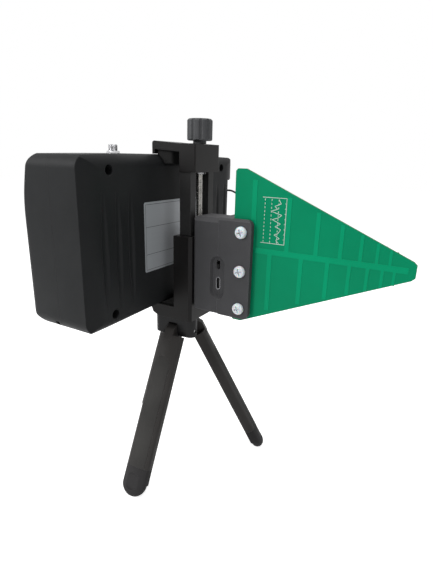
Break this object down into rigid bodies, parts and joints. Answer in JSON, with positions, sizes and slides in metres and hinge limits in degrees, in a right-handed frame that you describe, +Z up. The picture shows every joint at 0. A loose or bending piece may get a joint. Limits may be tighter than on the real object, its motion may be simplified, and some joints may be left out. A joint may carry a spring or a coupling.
{
  "type": "portable radio-frequency analyser on a mini tripod with a log-periodic antenna",
  "caption": "Handheld analyser with a wide screen in a screw clamp on a folding mini tripod, with a flat log-periodic antenna on a housing behind it and a thin coax lead.",
  "frame": {"origin": "on the ground, at the middle of the footprint of all rigid pieces", "axes": "+Z up; the screen faces -Y and the antenna points to +Y; +X is towards the side of the analyser with no sockets"},
  "size_m": [0.1913, 0.2298, 0.2684],
  "materials": {
    "hub_plastic": "satin",
    "leg_plastic": "satin",
    "grip_rubber": "soft matt",
    "foot_rubber": "matt",
    "pin_steel": "ground",
    "clamp_paint": "satin black",
    "rail_paint": "satin black",
    "pad_rubber": "matt",
    "knob_plastic": "satin, fluted",
    "screw_steel": "bright, threaded",
    "nut_brass": "turned",
    "case_plastic": "fine grain",
    "label_film": "satin film",
    "black_glass": "clear over black",
    "panel": "dark",
    "board_green": "solder mask",
    "battery_can": "film",
    "jack_gold": "gold plate",
    "jack_nickel": "nickel plate",
    "plug_gold": "gold plate",
    "socket_steel": "drawn",
    "switch_plastic": "matt",
    "module_plastic": "fine grain",
    "nylon_white": "satin",
    "copper_mask": "copper under solder mask",
    "lead_jacket": "smooth"
  },
  "bodies": {
    "stand": {"tripod_hub": "hub_plastic", "hinge_pins": "pin_steel", "stand_screw": "screw_steel", "clamp_body": "clamp_paint", "lower_jaw_pad": "pad_rubber", "clamp_nut": "nut_brass", "rear_case": "case_plastic", "front_case": "case_plastic", "rating_label": "label_film", "display_glass": "black_glass", "display_panel": "panel", "main_board": "board_green", "battery": "battery_can", "case_screws": "pin_steel", "side_rf_jack": "jack_gold", "top_rf_jack": "jack_nickel", "usb_socket": "socket_steel", "power_switch_case": "switch_plastic", "module_rear_shell": "module_plastic", "module_front_shell": "module_plastic", "amplifier_board": "board_green", "module_usb_socket": "socket_steel", "bias_switch_case": "switch_plastic", "module_rf_jack": "jack_gold", "nylon_screws": "nylon_white", "module_screws": "pin_steel", "antenna_board": "board_green", "front_copper": "copper_mask", "back_copper": "copper_mask", "elbow_plug": "plug_gold", "straight_plug": "plug_gold", "plug_nuts": "plug_gold", "antenna_lead": "lead_jacket"},
    "leg_a": {"leg_a": "leg_plastic", "grip_a": "grip_rubber", "foot_a": "foot_rubber"},
    "leg_b": {"leg_b": "leg_plastic", "grip_b": "grip_rubber", "foot_b": "foot_rubber"},
    "leg_c": {"leg_c": "leg_plastic", "grip_c": "grip_rubber", "foot_c": "foot_rubber"},
    "jaw": {"upper_jaw": "clamp_paint", "slide_rails": "rail_paint", "upper_jaw_pad": "pad_rubber"},
    "knob": {"clamp_knob": "knob_plastic", "clamp_screw": "screw_steel", "screw_clip": "pin_steel"},
    "power_lever": {"power_switch": "switch_plastic"},
    "bias_lever": {"bias_switch": "switch_plastic"}
  },
  "joints": [
    {"name": "leg_fold_a", "type": "hinge", "parent": "stand", "child": "leg_a", "pos_m": [0.008, -0.04926, 0.11522], "axis": [-0.0349, 0.9994, 0], "range_deg": [0, 26.5]},
    {"name": "leg_fold_b", "type": "hinge", "parent": "stand", "child": "leg_b", "pos_m": [-0.00424, -0.04275, 0.11522], "axis": [-0.848, -0.5299, 0], "range_deg": [0, 26.5]},
    {"name": "leg_fold_c", "type": "hinge", "parent": "stand", "child": "leg_c", "pos_m": [-0.00376, -0.0566, 0.11522], "axis": [0.8829, -0.4695, 0], "range_deg": [0, 26.5]},
    {"name": "jaw_slide", "type": "slide", "parent": "stand", "child": "jaw", "axis": [0, 0, 1], "range_m": [0, 0.012]},
    {"name": "knob_turn", "type": "hinge", "parent": "jaw", "child": "knob", "pos_m": [0, -0.03439, 0.26], "axis": [0, 0, 1], "range_deg": [0, 5400]},
    {"name": "power_switch_slide", "type": "slide", "parent": "stand", "child": "power_lever", "axis": [0, 0, 1], "range_m": [0, 0.002]},
    {"name": "bias_switch_slide", "type": "slide", "parent": "stand", "child": "bias_lever", "axis": [0, 0, 1], "range_m": [0, 0.002]}
  ],
  "couplings": [
    {"joint": "knob_turn", "follows": "jaw_slide", "rad_per_m": 7854}
  ]
}
